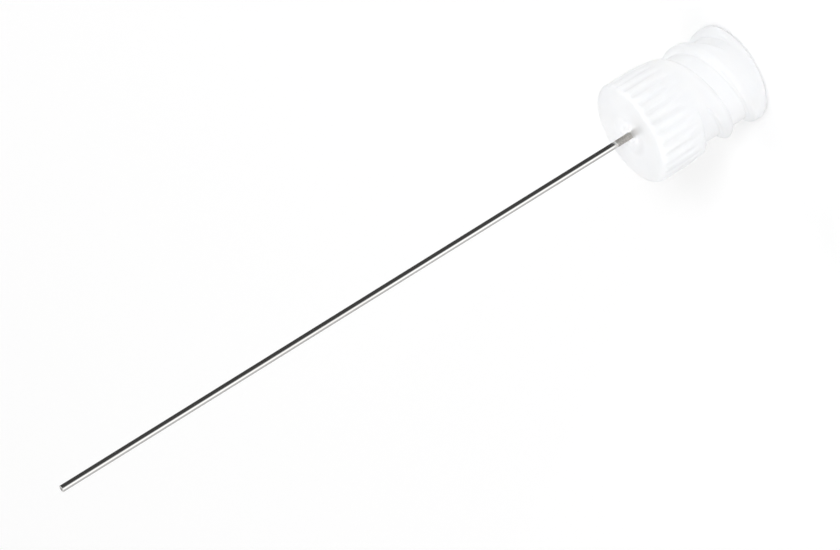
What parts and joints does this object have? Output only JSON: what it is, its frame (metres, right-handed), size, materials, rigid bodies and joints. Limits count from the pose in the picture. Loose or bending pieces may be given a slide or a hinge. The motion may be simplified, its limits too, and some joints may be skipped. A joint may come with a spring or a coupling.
{
  "type": "medical needle",
  "caption": "Long fine steel dispensing needle bonded into a milky plastic hub with a fluted finger grip, a lock thread and a conical syringe socket.",
  "frame": {"origin": "on the floor, under the middle of the hub's rear face, on the needle's axis", "axes": "+Z from the hub's rear face, on which the needle stands, to the tube's tip. X and Y lie on the floor, with -Y as the front."},
  "size_m": [0.008, 0.008, 0.0607],
  "materials": {
    "milky_plastic": "milky translucent moulding with a soft gloss",
    "polished_steel": "drawn and polished stainless steel, ground matt for a short length in front of the hub"
  },
  "bodies": {
    "root": {"hub": "milky_plastic", "needle_tube": "polished_steel"}
  },
  "joints": []
}
